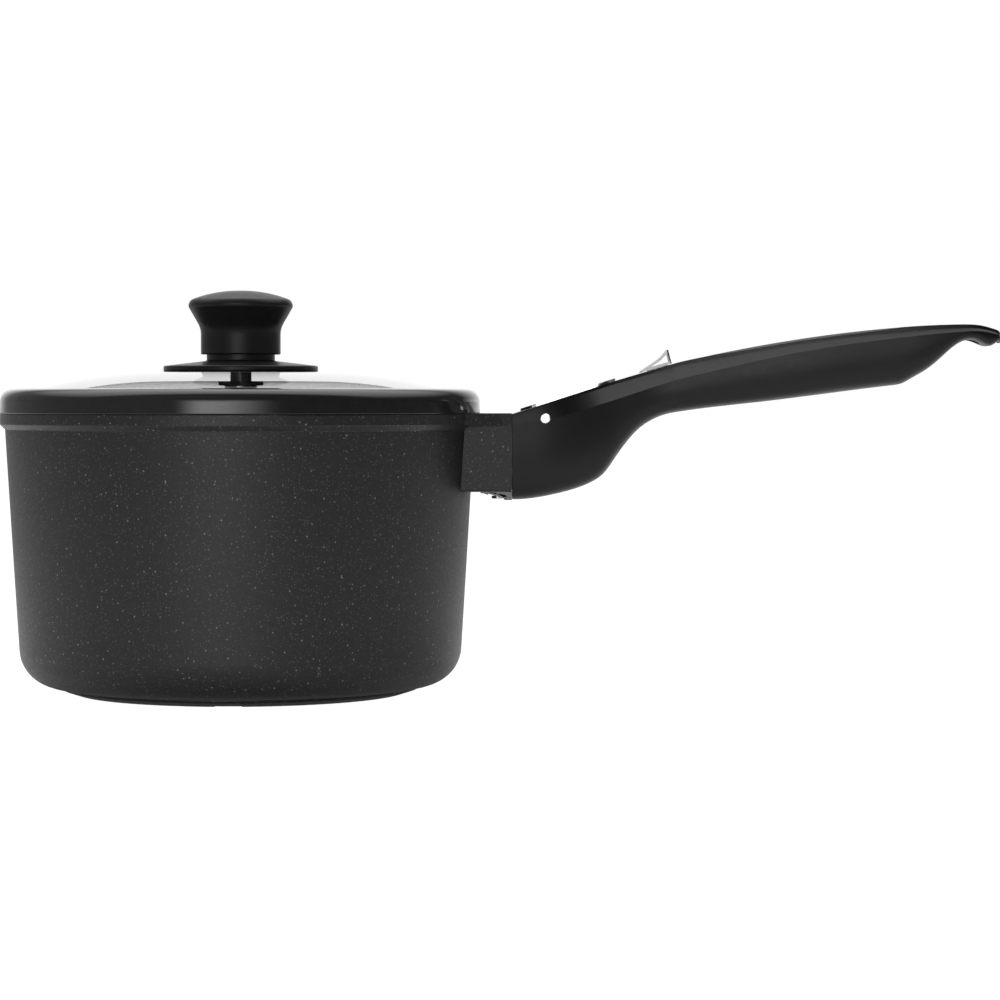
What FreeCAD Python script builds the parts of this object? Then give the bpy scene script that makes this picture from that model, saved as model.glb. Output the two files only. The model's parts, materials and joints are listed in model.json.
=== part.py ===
"""Saucepan with a glass lid and a latch-on handle, built as separate solids.

Frame: millimetres, +Z up, origin at the centre of the pan's foot, handle along +X.
Each function below builds one physical piece and returns its solid or solids.
"""
import FreeCAD
import Part
import math
import os

Vec = FreeCAD.Vector

# ---------------------------------------------------------------- pan
RIM_RADIUS = 95.4            # outside of the rim's lip
PAN_HEIGHT = 111.6           # foot to rim
WALL = 3.6                   # thickness of the side wall
WALL_TAPER = 3.44            # degrees the wall leans out
LIP_OVERHANG = 2.0           # how far the lip stands out of the wall
LIP_HEIGHT = 4.3             # straight outer face of the lip
LIP_CHAMFER = 2.0            # slope under the lip
FLOOR_THICKNESS = 6.7        # from the induction plate's seat to the cooking surface
CORNER_RADIUS = 15.1         # outside bottom corner
INNER_CORNER_RADIUS = 12.0
FOOT_RADIUS = 71.3
FOOT_STEP = 3.3              # height of the foot disc's edge
FOOT_EDGE = 2.0              # where the foot's sloped edge starts
FOOT_FLAT_RADIUS = 65.1      # outside of the ring that touches the hob
NOTCH_WIDTH = 10.5           # air notches across the foot ring
NOTCH_DEPTH = 0.4
NOTCH_COUNT = 4

# ---------------------------------------------------------------- induction plate
PLATE_RADIUS = 60.5
PLATE_THICKNESS = 0.8        # let in flush with the foot
PLATE_GAP = 0.05
PLATE_HOLE_RADIUS = 2.6
PLATE_RINGS = ((16.0, 8), (30.0, 16), (44.0, 24))    # hole circle radius, holes

# ---------------------------------------------------------------- bracket cast on the pan
BRACKET_REACH = 12.9         # from the lip to the bracket's front face
BRACKET_HALF_WIDTH = 24.0    # at the front face
BRACKET_ROOT_FLARE = 2.6     # extra half width where it meets the wall
BRACKET_TOP = 4.7            # thickness of the flange level with the rim
BRACKET_DEPTH = 30.8         # rim down to the bracket's underside
BRACKET_EDGE = 1.2           # rounding of the bracket's lower edges
FLANGE_FLARE = 9.5           # extra half width of the flange at its root
FLANGE_SHOULDER = 4.0        # from the front face back to where the flange starts to flare
FLANGE_STEP = 0.9            # how far the flange stands out of the bracket at its shoulder
SOCKET_HALF_WIDTH = 11.0
SOCKET_LENGTH = 11.8
SOCKET_TOP = 8.6             # rim down to the socket's roof
SOCKET_HEIGHT = 16.0

# ---------------------------------------------------------------- flame guard under the bracket
GUARD_WALL = 0.8
GUARD_DEPTH = 3.4
GUARD_LENGTH = 12.4
GUARD_EDGE = 0.5             # height of its front tip
GUARD_TOP_INSET = 0.6        # its top edge in from the bracket's side
GUARD_FLANK = 6.4            # how far each flank slopes in
GUARD_SLOT_LENGTH = 7.4      # oblong opening in each flank
GUARD_SLOT_WIDTH = 2.0
GUARD_SLOT_TILT = 12.0       # degrees, down towards the handle
GUARD_SLOT_FROM_FRONT = 5.7  # slot's centre from the bracket's front face
GUARD_POST_RADIUS = 3.6
GUARD_SCREW_RADIUS = 1.5
GUARD_SCREW_DEPTH = 5.0      # into the bracket
GUARD_SCREW_FROM_FRONT = 5.5
GUARD_HEAD_RADIUS = 2.6
GUARD_HEAD_HEIGHT = 1.2      # head let in flush with the guard's keel

# ---------------------------------------------------------------- handle
SEAM_GAP = 0.15              # between bracket and handle
HANDLE_LENGTH = 195.0
HEAD_LENGTH = 66.0           # the part that holds the latch
HANDLE_HALF_WIDTH = 24.0     # at the seam
NECK_HALF_WIDTH = 12.6
GRIP_HALF_WIDTH = 14.6
TAIL_HALF_WIDTH = 12.4
HANDLE_BOTTOM = -34.0        # underside at the seam, from the rim
GRIP_PEAK = 35.3             # highest point of the grip above the rim
PEAK_SHARE = 0.884           # where along the grip the peak is
TIP_DROP = 5.0               # peak down to the tip's top
FRONT_DROP = 0.3             # top of the handle below the rim at the seam
HEAD_SLOPE = 0.3225          # rise of the head's top
SLIDER_SLOPE = 0.293         # rise of the top where the slider runs
SLOPE_CHANGE = 40.0          # behind the seam
CREST_POWER = 1.75           # how late the grip's top levels out
SIDE_BULGE = 0.4
HANG_HOLE_RADIUS = 6.0
HANG_HOLE_FROM_TIP = 14.0

# ---------------------------------------------------------------- latch in the handle
PIN_RADIUS = 2.0
PIN_BORE_GAP = 0.05
PIN_X = 13.0                 # behind the seam
PIN_SINK_GAP = 0.4           # counterbore round the pin's ends
PIN_SINK_DEPTH = 0.7
PIN_END_INSET = 0.15         # pin's end in from the handle's side
PIN_Z = -2.0                 # against the rim
LEVER_HALF_THICKNESS = 2.2
LEVER_BOSS_WALL = 1.6        # round the pin
HOOK_FRONT = -9.6            # hook, from the seam
HOOK_BACK = -6.6
HOOK_BITE = 2.0              # how far the hook reaches into the bracket's roof
ARM_TOP = -10.1              # lever's arm in the socket, from the rim
ARM_BOTTOM = -14.1
TAIL_X = 41.0                # end of the lever's tail
TAIL_Z = 3.4
TAIL_RADIUS = 1.6
SPRING_WIRE_RADIUS = 0.4
SPRING_COIL_GAP = 0.55       # coil's wire off the pin
SPRING_PITCH = 1.1
SPRING_TURNS = 4
SLIDER_TRAVEL = 8.0
SLIDER_X = 57.0              # slider's reference point behind the seam
MOVING_GAP = 0.4
TOP_WALL = 3.2               # handle's top over the latch
TAB_FRONT = -6.0             # thumb tab, along the slider's run from its reference point
TAB_BACK = 6.9
TAB_HEIGHT = 6.3
TAB_HALF_WIDTH = 6.5
NECK_FRONT = -3.0
NECK_BACK = 5.5
NECK_HALF = 2.6
CARRIAGE_FRONT = -21.5
CARRIAGE_BACK = 7.5
CARRIAGE_HALF = 4.2
CARRIAGE_FLOOR = -14.0
CARRIAGE_ROOF = 3.0          # thickness of the carriage under the handle's top
RUNNING_GAP = 0.3            # carriage and tab off the handle's top
SLIDER_SCREW_X = 1.2
SLIDER_SCREW_RADIUS = 1.2
CORE_GAP = 0.1               # core in its cavity and in the socket
CORE_LENGTH = 25.0           # inside the handle
CORE_FLOOR = -17.6           # top of the core's web
SCREW_SEAT_DROP = 4.3        # from the core down to the core screws' heads
SCREW_RADIUS = 1.95
SCREW_HEAD_RADIUS = 3.65
SCREW_HEAD_HEIGHT = 2.4
SCREW_POSITIONS = (9.0, 19.0)

# ---------------------------------------------------------------- trim on the handle
TRIM_PROUD = 1.1
TRIM_DEPTH = 0.8
TRIM_GAP = 0.05
FRONT_TRIM = (3.2, 41.3)     # start and end behind the seam
FRONT_TRIM_HALF_WIDTH = 8.0
DOT_START = 10.5             # first sunk dot, from the trim's start
DOT_PITCH = 1.9
DOT_COUNT = 3
DOT_LENGTH = 0.7
DOT_HALF_WIDTH = 3.0
DOT_DEPTH = 0.4
GRIP_TRIM = (80.0, 154.0)
GRIP_TRIM_HALF_WIDTH = 6.4
GRIP_DIP = 0.8               # how deep the grip's top is dished for its trim

# ---------------------------------------------------------------- lid
RING_OVERHANG = 0.2          # ring outside the lip
RING_COVER = 13.6            # ring's width over the glass
RING_LIP = 0.5               # ring's inner edge above the glass
RING_CROWN = 0.1             # fall of the ring's top from its inner edge outwards
RING_SHOULDER = 5.0          # rounding of its outer top edge
SKIRT_DROP = 4.6
SKIRT_GAP = 1.0              # skirt to the pan's inside
SKIRT_WIDTH = 3.0
GLASS_THICKNESS = 4.0
GLASS_INSET = 6.4            # glass edge inside the ring's outer face
GLASS_FLAT_RADIUS = 31.0
GLASS_DOME_RADIUS = 181.0
GLASS_SEAT = 3.3             # rim up to the glass edge's underside
GLASS_HOLE_RADIUS = 4.3

# ---------------------------------------------------------------- knob
KNOB_DISC_RADIUS = 30.8
KNOB_DISC_EDGE = 2.2
KNOB_DISC_HEIGHT = 4.2
KNOB_NECK_RADIUS = 13.6
KNOB_NECK_HEIGHT = 2.6
KNOB_GRIP_RADIUS = 15.9
KNOB_TOP_RADIUS = 21.1
KNOB_GRIP_HEIGHT = 25.45
KNOB_DOME_HEIGHT = 3.65
KNOB_DOME_RADIUS = 50.0
KNOB_SCREW_RADIUS = 2.5
KNOB_INSERT_RADIUS = 4.0
KNOB_INSERT_LENGTH = 13.0
GROMMET_RADIUS = 9.0
GROMMET_THICKNESS = 1.6
GASKET_THICKNESS = 0.8
GASKET_OVERHANG = 2.4        # gasket outside the knob's neck
KNOB_INSERT_DROP = 2.2       # insert's mouth below the disc's top
KNOB_SCREW_REACH = 8.0       # screw's end above the disc's top
WASHER_THICKNESS = 1.0
WASHER_RADIUS = 6.5
KNOB_HEAD_RADIUS = 4.5
KNOB_HEAD_HEIGHT = 2.4

# ---------------------------------------------------------------- places worked out from the sizes
TAPER = math.tan(math.radians(WALL_TAPER))
INNER_RIM_RADIUS = RIM_RADIUS - LIP_OVERHANG - WALL + 0.3
LIP_BOTTOM = PAN_HEIGHT - LIP_HEIGHT
WALL_TOP = LIP_BOTTOM - LIP_CHAMFER
FLOOR_Z = PLATE_THICKNESS + FLOOR_THICKNESS
BRACKET_FRONT = RIM_RADIUS + BRACKET_REACH
SEAM_X = BRACKET_FRONT + SEAM_GAP / 2
GRIP_LENGTH = HANDLE_LENGTH - HEAD_LENGTH
RING_RADIUS = RIM_RADIUS + RING_OVERHANG
GLASS_RADIUS = RING_RADIUS - GLASS_INSET
PEAK_X = HEAD_LENGTH + GRIP_LENGTH * PEAK_SHARE
HOOK_TOP = -SOCKET_TOP + HOOK_BITE
LEVER_BOSS = PIN_RADIUS + LEVER_BOSS_WALL
SPRING_COIL_RADIUS = PIN_RADIUS + SPRING_COIL_GAP + SPRING_WIRE_RADIUS
BRACKET_BOTTOM = PAN_HEIGHT - BRACKET_DEPTH
GUARD_KEEL = BRACKET_BOTTOM - GUARD_DEPTH
GUARD_SCREW_X = BRACKET_FRONT - GUARD_SCREW_FROM_FRONT
SOCKET_ROOF = PAN_HEIGHT - SOCKET_TOP
SKIRT_BOTTOM = PAN_HEIGHT - SKIRT_DROP
DOME_ANGLE = math.asin((GLASS_RADIUS - GLASS_FLAT_RADIUS) / GLASS_DOME_RADIUS)
GLASS_TOP = (PAN_HEIGHT + GLASS_SEAT + GLASS_THICKNESS * math.cos(DOME_ANGLE)
             + GLASS_DOME_RADIUS * (1 - math.cos(DOME_ANGLE)))
GLASS_UNDER = GLASS_TOP - GLASS_THICKNESS
KNOB_SEAT = GLASS_TOP + KNOB_DISC_HEIGHT + KNOB_NECK_HEIGHT


# ================================================================ drawing helpers
def corner_arc(before, corner, after, radius):
    """Start, middle and end of the arc that rounds one corner of an outline."""
    to_before = (before - corner).normalize()
    to_after = (after - corner).normalize()
    half = to_before.getAngle(to_after) / 2
    reach = radius / math.tan(half)
    bisector = (to_before + to_after).normalize()
    middle = corner + bisector * (radius / math.sin(half) - radius)
    return corner + to_before * reach, middle, corner + to_after * reach


def outline(points):
    """Closed face in the XZ plane through (x, z) or (x, z, corner radius) points."""
    places = [Vec(point[0], 0, point[1]) for point in points]
    radii = [point[2] if len(point) > 2 else 0 for point in points]
    count = len(points)
    starts = []
    ends = []
    arcs = []
    for i, place in enumerate(places):
        if radii[i] > 0:
            start, middle, end = corner_arc(places[i - 1], place, places[(i + 1) % count], radii[i])
            arcs.append(Part.Arc(start, middle, end).toShape())
        else:
            start = end = place
            arcs.append(None)
        starts.append(start)
        ends.append(end)
    edges = []
    for i in range(count):
        if arcs[i]:
            edges.append(arcs[i])
        following = starts[(i + 1) % count]
        if ends[i].distanceToPoint(following) > 1e-6:
            edges.append(Part.LineSegment(ends[i], following).toShape())
    return Part.Face(Part.Wire(edges))


def turned(points):
    """Solid of revolution about Z from an (r, z) outline."""
    return outline(points).revolve(Vec(0, 0, 0), Vec(0, 0, 1), 360)


def plate(points, half_width):
    """Side outline in XZ, made into a plate centred on Y = 0."""
    face = outline(points)
    face.translate(Vec(0, -half_width, 0))
    return face.extrude(Vec(0, 2 * half_width, 0))


def block(x0, x1, half_width, z0, z1):
    """Box centred on Y = 0."""
    return Part.makeBox(x1 - x0, 2 * half_width, z1 - z0, Vec(x0, -half_width, z0))


def rounded_block(x0, x1, half_width, z0, z1, radius):
    """Box centred on Y = 0 with its upright edges rounded."""
    box = block(x0, x1, half_width, z0, z1)
    upright = [edge for edge in box.Edges if edge.BoundBox.ZLength > z1 - z0 - 1e-6]
    return box.makeFillet(radius, upright)


def rod(radius, start, end):
    """Cylinder from one point to another."""
    axis = end - start
    return Part.makeCylinder(radius, axis.Length, start, axis)


def plan_prism(points, z0, z1):
    """Flat outline in XY through (x, y) points, raised from z0 to z1."""
    corners = [Vec(x, y, z0) for x, y in points]
    face = Part.Face(Part.makePolygon(corners + corners[:1]))
    return face.extrude(Vec(0, 0, z1 - z0))


def smooth(points, x):
    """Height at x of the smooth line through (x, height) points, with no overshoot."""
    slopes = [(b[1] - a[1]) / (b[0] - a[0]) for a, b in zip(points, points[1:])]
    tangents = [slopes[0]]
    for left, right in zip(slopes, slopes[1:]):
        tangents.append(2 * left * right / (left + right) if left * right > 0 else 0.0)
    tangents.append(slopes[-1])
    i = 0
    while i < len(points) - 2 and x > points[i + 1][0]:
        i += 1
    width = points[i + 1][0] - points[i][0]
    t = (x - points[i][0]) / width
    start = (1 + 2 * t) * (1 - t) ** 2 * points[i][1] + t * (1 - t) ** 2 * width * tangents[i]
    finish = t * t * (3 - 2 * t) * points[i + 1][1] - t * t * (1 - t) * width * tangents[i + 1]
    return start + finish


def at_seam(shape):
    """Move a piece drawn from the seam and the rim level to its place on the pan."""
    shape.translate(Vec(SEAM_X, 0, PAN_HEIGHT))
    return shape


# ================================================================ pan and base
def wall_radius(z):
    """Outside radius of the tapered wall."""
    return RIM_RADIUS - LIP_OVERHANG - (WALL_TOP - z) * TAPER


def inner_radius(z):
    """Inside radius of the tapered wall."""
    return INNER_RIM_RADIUS - (PAN_HEIGHT - z) * TAPER


def pan_cavity():
    return turned([
        (0, FLOOR_Z),
        (inner_radius(FLOOR_Z), FLOOR_Z, INNER_CORNER_RADIUS),
        (inner_radius(PAN_HEIGHT + 1), PAN_HEIGHT + 1),
        (0, PAN_HEIGHT + 1),
    ])


def pan_shell():
    return turned([
        (0, PLATE_THICKNESS),
        (PLATE_RADIUS, PLATE_THICKNESS),
        (PLATE_RADIUS, 0, 0.3),
        (FOOT_FLAT_RADIUS, 0, 6.0),
        (FOOT_RADIUS, FOOT_EDGE, 0.8),
        (FOOT_RADIUS, FOOT_STEP),
        (wall_radius(FOOT_STEP), FOOT_STEP, CORNER_RADIUS),
        (wall_radius(WALL_TOP), WALL_TOP, 0.5),
        (RIM_RADIUS, LIP_BOTTOM, 0.5),
        (RIM_RADIUS, PAN_HEIGHT, 0.4),
        (0, PAN_HEIGHT),
    ])


def bracket():
    """Boss and rim-level flange that carry the handle, with the socket for its core."""
    root_x = inner_radius(PAN_HEIGHT) * 0.93
    root_half = BRACKET_HALF_WIDTH + BRACKET_ROOT_FLARE
    boss = plan_prism([
        (root_x, -root_half),
        (BRACKET_FRONT, -BRACKET_HALF_WIDTH),
        (BRACKET_FRONT, BRACKET_HALF_WIDTH),
        (root_x, root_half),
    ], BRACKET_BOTTOM, PAN_HEIGHT)
    boss = boss.makeFillet(BRACKET_EDGE, lower_edges(boss, BRACKET_BOTTOM))
    flange_half = BRACKET_HALF_WIDTH + FLANGE_FLARE
    shoulder_x = BRACKET_FRONT - FLANGE_SHOULDER
    shoulder_half = BRACKET_HALF_WIDTH + FLANGE_STEP
    flange = plan_prism([
        (root_x, -flange_half),
        (shoulder_x, -shoulder_half),
        (BRACKET_FRONT, -BRACKET_HALF_WIDTH),
        (BRACKET_FRONT, BRACKET_HALF_WIDTH),
        (shoulder_x, shoulder_half),
        (root_x, flange_half),
    ], PAN_HEIGHT - BRACKET_TOP, PAN_HEIGHT)
    socket = block(BRACKET_FRONT - SOCKET_LENGTH, BRACKET_FRONT + 1, SOCKET_HALF_WIDTH,
                   SOCKET_ROOF - SOCKET_HEIGHT, SOCKET_ROOF)
    keeper = block(SEAM_X + HOOK_FRONT - MOVING_GAP, SEAM_X + HOOK_BACK + 2.5 * MOVING_GAP,
                   LEVER_HALF_THICKNESS + MOVING_GAP, SOCKET_ROOF - 1,
                   SOCKET_ROOF + HOOK_BITE + 1.5 * MOVING_GAP)
    return boss.fuse(flange).cut(socket).cut(keeper)


def lower_edges(solid, z):
    """Edges that lie wholly in the plane at height z."""
    return [edge for edge in solid.Edges
            if abs(edge.BoundBox.ZMax - z) < 1e-4 and abs(edge.BoundBox.ZMin - z) < 1e-4]


def pan_body():
    body = pan_shell().fuse(bracket()).cut(pan_cavity())
    for i in range(NOTCH_COUNT):
        notch = block(PLATE_RADIUS - 1, FOOT_RADIUS, NOTCH_WIDTH / 2, -1, NOTCH_DEPTH)
        notch.rotate(Vec(0, 0, 0), Vec(0, 0, 1), 360 / NOTCH_COUNT * i)
        body = body.cut(notch)
    screw_hole = rod(GUARD_SCREW_RADIUS + PIN_BORE_GAP, Vec(GUARD_SCREW_X, 0, GUARD_KEEL),
                     Vec(GUARD_SCREW_X, 0, BRACKET_BOTTOM + GUARD_SCREW_DEPTH))
    return body.cut(screw_hole).removeSplitter()


def induction_plate():
    disc = turned([
        (0, 0),
        (PLATE_RADIUS - PLATE_GAP, 0, 0.2),
        (PLATE_RADIUS - PLATE_GAP, PLATE_THICKNESS),
        (0, PLATE_THICKNESS),
    ])
    holes = []
    for circle_radius, count in PLATE_RINGS:
        for i in range(count):
            angle = 2 * math.pi * i / count
            place = Vec(circle_radius * math.cos(angle), circle_radius * math.sin(angle), -1)
            holes.append(rod(PLATE_HOLE_RADIUS, place, place + Vec(0, 0, PLATE_THICKNESS + 2)))
    return disc.cut(Part.makeCompound(holes))


# ================================================================ handle body
# The handle is drawn from the seam (x) and from the rim level (z).
def grip_x(share):
    """Place along the grip, from 0 at its start to 1 at the tip."""
    return HEAD_LENGTH + GRIP_LENGTH * share


def land_height(x):
    """Height of the handle's flat top."""
    if x <= SLOPE_CHANGE:
        return HEAD_SLOPE * x - FRONT_DROP
    change = HEAD_SLOPE * SLOPE_CHANGE - FRONT_DROP
    if x <= HEAD_LENGTH:
        return change + SLIDER_SLOPE * (x - SLOPE_CHANGE)
    start = change + SLIDER_SLOPE * (HEAD_LENGTH - SLOPE_CHANGE)
    if x <= PEAK_X:
        share = (PEAK_X - x) / (PEAK_X - HEAD_LENGTH)
        return GRIP_PEAK - (GRIP_PEAK - start) * share ** CREST_POWER
    share = (x - PEAK_X) / (HANDLE_LENGTH - PEAK_X)
    return GRIP_PEAK - TIP_DROP * (1 - math.sqrt(max(0.0, 1 - share ** 2)))


# Outlines along the handle: (x, value), smoothly joined.
UNDERSIDE = [
    (0.0, HANDLE_BOTTOM), (5.5, HANDLE_BOTTOM + 0.2), (12.0, -32.9), (19.6, -31.3), (26.0, -29.5),
    (31.6, -27.2), (36.4, -23.85), (41.1, -17.5), (45.9, -11.0), (50.6, -6.0), (55.4, -2.75),
    (60.1, -0.7), (66.0, 0.6), (grip_x(0.065), 1.8), (grip_x(0.25), 4.5), (grip_x(0.43), 7.4),
    (grip_x(0.61), 10.4), (grip_x(0.66), 11.15), (grip_x(0.69), 11.9), (grip_x(0.72), 14.0),
    (grip_x(0.76), 17.0), (grip_x(0.80), 21.0), (grip_x(0.84), 25.7), (grip_x(0.875), 28.6),
    (grip_x(0.9), 29.2), (grip_x(0.93), 28.1), (grip_x(0.967), 27.0), (grip_x(1.0), 28.2),
]
HALF_WIDTH = [
    (0.0, HANDLE_HALF_WIDTH), (14.0, HANDLE_HALF_WIDTH - 1.2), (44.0, NECK_HALF_WIDTH + 2.6),
    (62.0, NECK_HALF_WIDTH), (grip_x(0.1), NECK_HALF_WIDTH + 0.1), (grip_x(0.5), GRIP_HALF_WIDTH),
    (grip_x(0.7), GRIP_HALF_WIDTH - 0.1), (grip_x(0.9), TAIL_HALF_WIDTH),
    (grip_x(0.96), TAIL_HALF_WIDTH - 2.6), (grip_x(0.99), TAIL_HALF_WIDTH - 5.6),
    (grip_x(1.0), TAIL_HALF_WIDTH - 8.4),
]
LIP_STEP = [
    (0.0, 1.0), (30.0, 1.15), (60.0, 1.3), (grip_x(0.06), 1.55), (grip_x(0.2), 2.0),
    (grip_x(0.65), 2.0), (grip_x(0.82), 1.7), (grip_x(1.0), 1.1),
]
FACET_HEIGHT = [
    (0.0, 3.0), (20.0, 6.0), (38.0, 6.2), (58.0, 5.5), (grip_x(0.06), 5.0), (grip_x(0.25), 3.8),
    (grip_x(0.53), 2.7), (grip_x(0.82), 1.6), (grip_x(1.0), 0.6),
]
FACET_DEPTH = [
    (0.0, 0.3), (14.0, 0.5), (20.0, 1.5), (31.0, 4.3), (38.0, 5.9), (58.0, 5.5),
    (grip_x(0.06), 5.0), (grip_x(0.25), 3.8), (grip_x(0.53), 2.7), (grip_x(0.82), 1.6),
    (grip_x(1.0), 0.6),
]
FLAT_SHARE = [
    (0.0, 0.6), (30.0, 0.5), (55.0, 0.36), (grip_x(0.5), 0.34), (grip_x(0.9), 0.45),
    (grip_x(1.0), 0.55),
]


def handle_section(x):
    """Outline across the handle: flat top, upright edge, facet, bulged side, flat underside."""
    top = land_height(x)
    bottom = smooth(UNDERSIDE, x)
    half = smooth(HALF_WIDTH, x)
    depth = smooth(FACET_DEPTH, x)
    step = smooth(LIP_STEP, x)
    flat = half * smooth(FLAT_SHARE, x)
    crease = top - step - smooth(FACET_HEIGHT, x)
    height = crease - bottom
    right = [
        Vec(x, half - depth - 0.2, top),
        Vec(x, half - depth, top - step),
        Vec(x, half, crease),
    ]
    side_right = Part.BezierCurve()
    side_right.setPoles([right[2], Vec(x, half + SIDE_BULGE, crease - 0.55 * height),
                         Vec(x, half + SIDE_BULGE / 2, bottom), Vec(x, flat, bottom)])
    side_left = Part.BezierCurve()
    side_left.setPoles([Vec(x, -flat, bottom), Vec(x, -half - SIDE_BULGE / 2, bottom),
                        Vec(x, -half - SIDE_BULGE, crease - 0.55 * height), Vec(x, -half, crease)])
    left = [Vec(x, -corner.y, corner.z) for corner in right]
    edges = [
        Part.LineSegment(left[0], right[0]).toShape(),
        Part.LineSegment(right[0], right[1]).toShape(),
        Part.LineSegment(right[1], right[2]).toShape(),
        side_right.toShape(),
        Part.LineSegment(Vec(x, flat, bottom), Vec(x, -flat, bottom)).toShape(),
        side_left.toShape(),
        Part.LineSegment(left[2], left[1]).toShape(),
        Part.LineSegment(left[1], left[0]).toShape(),
    ]
    return Part.Wire(edges)


def handle_stations():
    """Places of the cross-sections: where the underside is stated, from the seam to the tip."""
    inner = [x for x, height in UNDERSIDE[1:-1]]
    return [SEAM_GAP / 2] + inner + [grip_x(0.996)]


def trim_strip(start, end, half_width, low, high):
    """Strip that follows the handle's top, with round ends, from low to high off it."""
    steps = 12
    places = [start + (end - start) * i / steps for i in range(steps + 1)]
    upper = Part.BSplineCurve()
    upper.interpolate([Vec(x, 0, land_height(x) + high) for x in places])
    lower = Part.BSplineCurve()
    lower.interpolate([Vec(x, 0, land_height(x) + low) for x in places])
    first = Part.LineSegment(lower.StartPoint, upper.StartPoint).toShape()
    last = Part.LineSegment(lower.EndPoint, upper.EndPoint).toShape()
    face = Part.Face(Part.Wire([first, upper.toShape(), last, lower.toShape()]))
    face.translate(Vec(0, -half_width, 0))
    strip = face.extrude(Vec(0, 2 * half_width, 0))
    z0 = land_height(start) - 30
    z1 = land_height(end) + 30
    middle = block(start + half_width, end - half_width, half_width, z0, z1)
    ends = [rod(half_width, Vec(x, 0, z0), Vec(x, 0, z1))
            for x in (start + half_width, end - half_width)]
    return strip.common(middle.fuse(ends))


def grip_dish_depth(x):
    """How far the grip's top is dished at x: level in the middle, running out at the trim's ends."""
    start, end = GRIP_TRIM
    middle = (start + end) / 2
    return GRIP_DIP * (1 - ((x - middle) / (end - middle)) ** 6)


def dished_strip(half_width, depth, height):
    """Strip along the grip between the dish, sunk by depth, and a line at height over the old top."""
    start, end = GRIP_TRIM
    steps = 16
    places = [start + (end - start) * i / steps for i in range(steps + 1)]
    upper = Part.BSplineCurve()
    upper.interpolate([Vec(x, 0, land_height(x) + height) for x in places])
    lower = Part.BSplineCurve()
    lower.interpolate([Vec(x, 0, land_height(x) - grip_dish_depth(x) - depth) for x in places])
    edges = [upper.toShape(), lower.toShape()]
    for a, b in ((lower.StartPoint, upper.StartPoint), (lower.EndPoint, upper.EndPoint)):
        if a.distanceToPoint(b) > 1e-6:
            edges.append(Part.LineSegment(a, b).toShape())
    face = Part.Face(Part.Wire(Part.__sortEdges__(edges)))
    face.translate(Vec(0, -half_width, 0))
    return face.extrude(Vec(0, 2 * half_width, 0))


def in_slider_frame(shape):
    """Turn a piece drawn along the slider's run so that it lies on the handle's top."""
    tilt = math.degrees(math.atan(SLIDER_SLOPE))
    shape.rotate(Vec(0, 0, 0), Vec(0, 1, 0), -tilt)
    shape.translate(Vec(SLIDER_X, 0, land_height(SLIDER_X)))
    return shape


def core_section(gap):
    """Half width, bottom and top of the handle's core, grown by a gap."""
    roof = -SOCKET_TOP
    return (SOCKET_HALF_WIDTH - CORE_GAP + gap, roof - SOCKET_HEIGHT + CORE_GAP - gap,
            roof - CORE_GAP + gap)


def latch_space():
    """Room inside the handle for the lever, its spring and the slider's carriage."""
    half = CARRIAGE_HALF + MOVING_GAP
    lever_room = plate([
        (-1, CORE_FLOOR), (PIN_X + 4, CORE_FLOOR), (PIN_X + 10, -8.5), (TAIL_X, -6.0),
        (TAIL_X, land_height(TAIL_X) - TOP_WALL), (PIN_X, land_height(PIN_X) - TOP_WALL + 1.4),
        (PIN_X - 5, land_height(PIN_X - 5) - TOP_WALL), (-1, -6.0),
    ], half)
    boss_room = rod(LEVER_BOSS + MOVING_GAP, Vec(PIN_X, -half, PIN_Z), Vec(PIN_X, half, PIN_Z))
    pocket_radius = SPRING_COIL_RADIUS + SPRING_WIRE_RADIUS + 4 * MOVING_GAP
    pocket_half = LEVER_HALF_THICKNESS + 2 * MOVING_GAP + SPRING_PITCH * (SPRING_TURNS + 1)
    pocket = rod(pocket_radius, Vec(PIN_X, -pocket_half, PIN_Z), Vec(PIN_X, pocket_half, PIN_Z))
    pocket = pocket.common(block(PIN_X - 9, PIN_X + 9, 9, PIN_Z - 9, PIN_Z + SPRING_COIL_RADIUS + 0.65))
    carriage_room = in_slider_frame(block(
        CARRIAGE_FRONT - SLIDER_TRAVEL - MOVING_GAP, CARRIAGE_BACK + MOVING_GAP, half,
        CARRIAGE_FLOOR - MOVING_GAP, -TOP_WALL))
    slot = in_slider_frame(block(NECK_FRONT - SLIDER_TRAVEL - MOVING_GAP, NECK_BACK + MOVING_GAP,
                                 NECK_HALF + MOVING_GAP, -TOP_WALL - 1, 5))
    return lever_room.fuse([boss_room, pocket, carriage_room, slot])


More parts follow.
